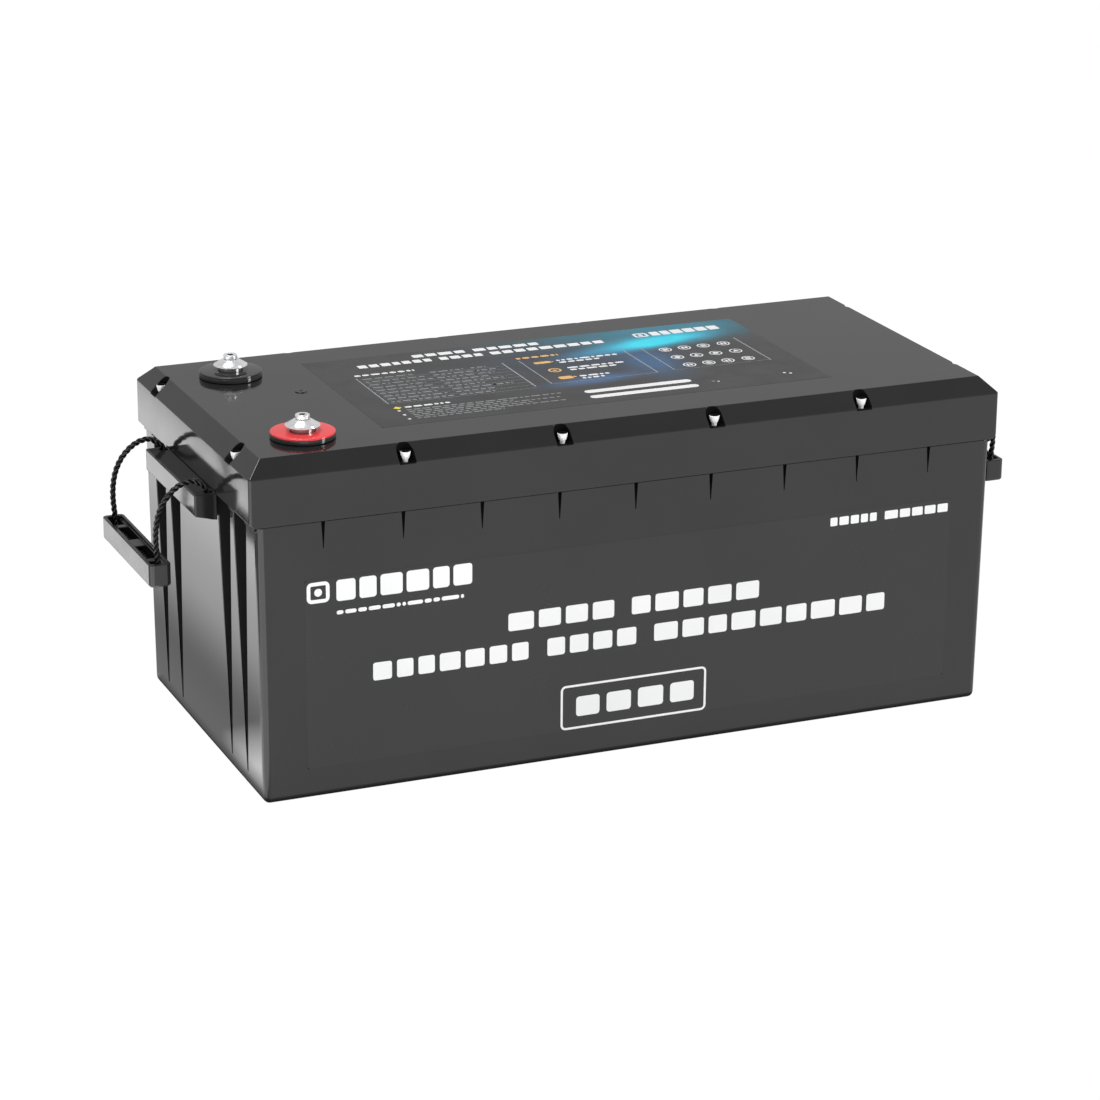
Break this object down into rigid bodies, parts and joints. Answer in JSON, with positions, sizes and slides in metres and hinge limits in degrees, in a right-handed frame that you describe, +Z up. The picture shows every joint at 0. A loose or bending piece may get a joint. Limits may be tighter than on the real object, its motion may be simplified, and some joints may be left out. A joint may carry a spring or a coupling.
{
  "type": "deep cycle battery",
  "caption": "Long rectangular black deep cycle battery with a chamfered screwed lid, red and black bolt terminals, a blue-black top label and swinging rope handles on both ends.",
  "frame": {"origin": "centre of the case's bottom face", "axes": "+Z up, +X along the length away from the terminal end, +Y across the width; the positive terminal is at -X and -Y"},
  "size_m": [0.612, 0.24, 0.241],
  "materials": {
    "black_plastic": "semi-gloss moulded ABS",
    "red_plastic": "semi-gloss",
    "terminal_black": "semi-gloss",
    "top_label_film": "printed film with a clear overlaminate",
    "front_label_film": "printed film",
    "seal_rubber": "matt",
    "zinc_steel": "zinc plated",
    "brass": "machined",
    "copper": "bare copper",
    "aluminium": "mill finish",
    "rope": "twisted cord",
    "cell_film": "aluminium can in a plastic sleeve",
    "circuit_board": "solder mask",
    "cable_red": "satin",
    "cable_black": "satin",
    "foam": "matt"
  },
  "bodies": {
    "case": {"base_pad": "foam", "bms_board": "circuit_board", "bms_bracket": "zinc_steel", "bms_heat_sink": "aluminium", "case": "black_plastic", "cell_1": "cell_film", "cell_2": "cell_film", "cell_3": "cell_film", "cell_4": "cell_film", "cell_link_1": "copper", "cell_link_2": "copper", "cell_link_3": "copper", "end_plate_left": "aluminium", "end_plate_right": "aluminium", "foam_block_left": "foam", "foam_block_right": "foam", "front_label": "front_label_film", "left_rope_tail_back": "rope", "left_rope_tail_front": "rope", "lid": "black_plastic", "lid_gasket": "seal_rubber", "lid_screw_01": "zinc_steel", "lid_screw_02": "zinc_steel", "lid_screw_03": "zinc_steel", "lid_screw_04": "zinc_steel", "lid_screw_05": "zinc_steel", "lid_screw_06": "zinc_steel", "lid_screw_07": "zinc_steel", "lid_screw_08": "zinc_steel", "lid_screw_09": "zinc_steel", "lid_screw_10": "zinc_steel", "lid_screw_11": "zinc_steel", "lid_screw_12": "zinc_steel", "negative_cable": "cable_black", "negative_terminal_post": "brass", "negative_terminal_ring": "terminal_black", "pack_negative_cable": "cable_black", "pack_negative_tab": "copper", "pack_positive_tab": "copper", "pack_strap_lower": "zinc_steel", "pack_strap_upper": "zinc_steel", "positive_cable": "cable_red", "positive_terminal_post": "brass", "positive_terminal_ring": "red_plastic", "right_rope_tail_back": "rope", "right_rope_tail_front": "rope", "sense_harness": "cable_black", "top_label": "top_label_film", "vent_plug": "black_plastic"},
    "left_handle": {"left_handle_grip": "black_plastic", "left_handle_rope": "rope"},
    "right_handle": {"right_handle_grip": "black_plastic", "right_handle_rope": "rope"},
    "positive_washer": {"positive_dished_washer": "zinc_steel"},
    "positive_bolt": {"positive_terminal_bolt": "zinc_steel"},
    "negative_washer": {"negative_dished_washer": "zinc_steel"},
    "negative_bolt": {"negative_terminal_bolt": "zinc_steel"}
  },
  "joints": [
    {"name": "left_handle_swing", "type": "hinge", "parent": "case", "child": "left_handle", "pos_m": [-0.275, 0, 0.196], "axis": [0, 1, 0], "range_deg": [-25, 140]},
    {"name": "right_handle_swing", "type": "hinge", "parent": "case", "child": "right_handle", "pos_m": [0.275, 0, 0.196], "axis": [0, -1, 0], "range_deg": [-25, 140]},
    {"name": "positive_bolt_lift", "type": "slide", "parent": "case", "child": "positive_washer", "axis": [0, 0, 1], "range_m": [0, 0.014]},
    {"name": "positive_bolt_turn", "type": "hinge", "parent": "positive_washer", "child": "positive_bolt", "pos_m": [-0.211, -0.0765, 0.2375], "axis": [0, 0, 1], "range_deg": [0, 5040]},
    {"name": "negative_bolt_lift", "type": "slide", "parent": "case", "child": "negative_washer", "axis": [0, 0, 1], "range_m": [0, 0.014]},
    {"name": "negative_bolt_turn", "type": "hinge", "parent": "negative_washer", "child": "negative_bolt", "pos_m": [-0.211, 0.0695, 0.2375], "axis": [0, 0, 1], "range_deg": [0, 5040]}
  ],
  "couplings": [
    {"joint": "positive_bolt_turn", "follows": "positive_bolt_lift", "rad_per_m": 6283.2},
    {"joint": "negative_bolt_turn", "follows": "negative_bolt_lift", "rad_per_m": 6283.2}
  ]
}
